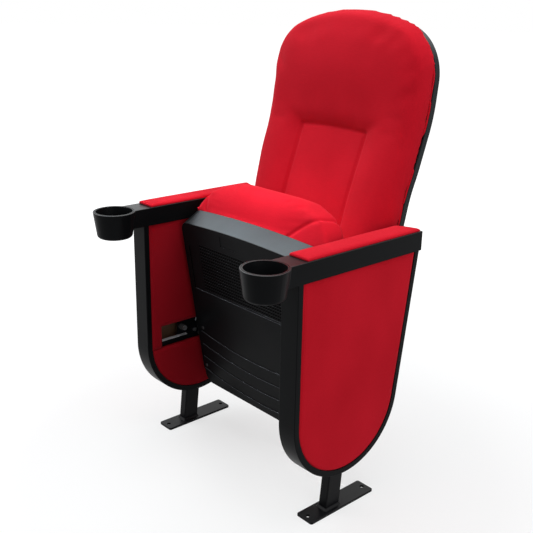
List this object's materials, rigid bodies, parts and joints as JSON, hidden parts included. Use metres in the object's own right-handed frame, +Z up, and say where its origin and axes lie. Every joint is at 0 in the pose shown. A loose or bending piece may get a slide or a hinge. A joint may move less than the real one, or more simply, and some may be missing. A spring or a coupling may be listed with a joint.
{
  "type": "tip-up auditorium seat",
  "caption": "Tip-up auditorium seat with round-footed upholstered standards, padded armrests with cups, a sprung tip-up seat and a high contoured back in red plush",
  "frame": {"origin": "On the floor, in the middle of the four floor bolt holes", "axes": "+Z up, the sitter faces -Y, +X is the sitter's left; left_ nodes are at +X. The seat is stored tipped up."},
  "size_m": [0.6636, 0.6189, 1.13],
  "materials": {
    "black_steel": "black powder coat, satin",
    "black_plastic": "black moulded plastic, satin",
    "grey_plastic": "dark grey moulded plastic, matt",
    "plywood": "plain plywood",
    "red_fabric": "red plush with a fine weave",
    "dark_red_fabric": "red plush with a fine weave",
    "foam": "polyurethane foam, pale",
    "zinc_steel": "zinc plated",
    "spring_steel": "oiled spring steel",
    "dark_screw": "black oxide",
    "nylon": "natural nylon",
    "black_rubber": "matt"
  },
  "bodies": {
    "frame": {"arm_screws": "zinc_steel", "back_board": "plywood", "back_cover": "red_fabric", "back_foam": "foam", "back_screws": "dark_screw", "back_shell": "grey_plastic", "bracket_bolts": "zinc_steel", "left_arm_pad": "foam", "left_arm_pad_cover": "red_fabric", "left_arm_plate": "black_steel", "left_armrest": "black_plastic", "left_back_wing": "black_steel", "left_edge_band": "black_plastic", "left_floor_plate": "black_steel", "left_inner_lower_board": "plywood", "left_inner_lower_cover": "dark_red_fabric", "left_inner_upper_board": "plywood", "left_inner_upper_cover": "dark_red_fabric", "left_outer_board": "plywood", "left_outer_cover": "red_fabric", "left_pivot_pin": "zinc_steel", "left_post": "black_steel", "left_return_spring": "spring_steel", "left_seat_bracket": "black_steel", "panel_screws": "zinc_steel", "pin_clips": "spring_steel", "right_arm_pad": "foam", "right_arm_pad_cover": "red_fabric", "right_arm_plate": "black_steel", "right_armrest": "black_plastic", "right_back_wing": "black_steel", "right_edge_band": "black_plastic", "right_floor_plate": "black_steel", "right_inner_lower_board": "plywood", "right_inner_lower_cover": "dark_red_fabric", "right_inner_upper_board": "plywood", "right_inner_upper_cover": "dark_red_fabric", "right_outer_board": "plywood", "right_outer_cover": "red_fabric", "right_pivot_pin": "zinc_steel", "right_post": "black_steel", "right_return_spring": "spring_steel", "right_seat_bracket": "black_steel", "spacer_blocks": "plywood", "stop_bolts": "zinc_steel", "stop_sleeves": "black_rubber", "wing_bolts": "zinc_steel"},
    "seat": {"seat_shell": "black_plastic", "shell_screws": "dark_screw", "seat_frame": "black_steel", "seat_board": "plywood", "seat_foam": "foam", "seat_cover": "red_fabric", "left_hinge_plate": "black_steel", "right_hinge_plate": "black_steel", "left_pivot_bush": "nylon", "right_pivot_bush": "nylon", "hinge_bolts": "dark_screw"}
  },
  "joints": [
    {"name": "seat_tip", "type": "hinge", "parent": "frame", "child": "seat", "pos_m": [0, 0.009, 0.305], "axis": [1, 0, 0], "range_deg": [0, 78], "stiffness_Nm_per_rad": 6.5, "springref_deg": -22.92, "deforming": ["left_return_spring", "right_return_spring"]}
  ]
}
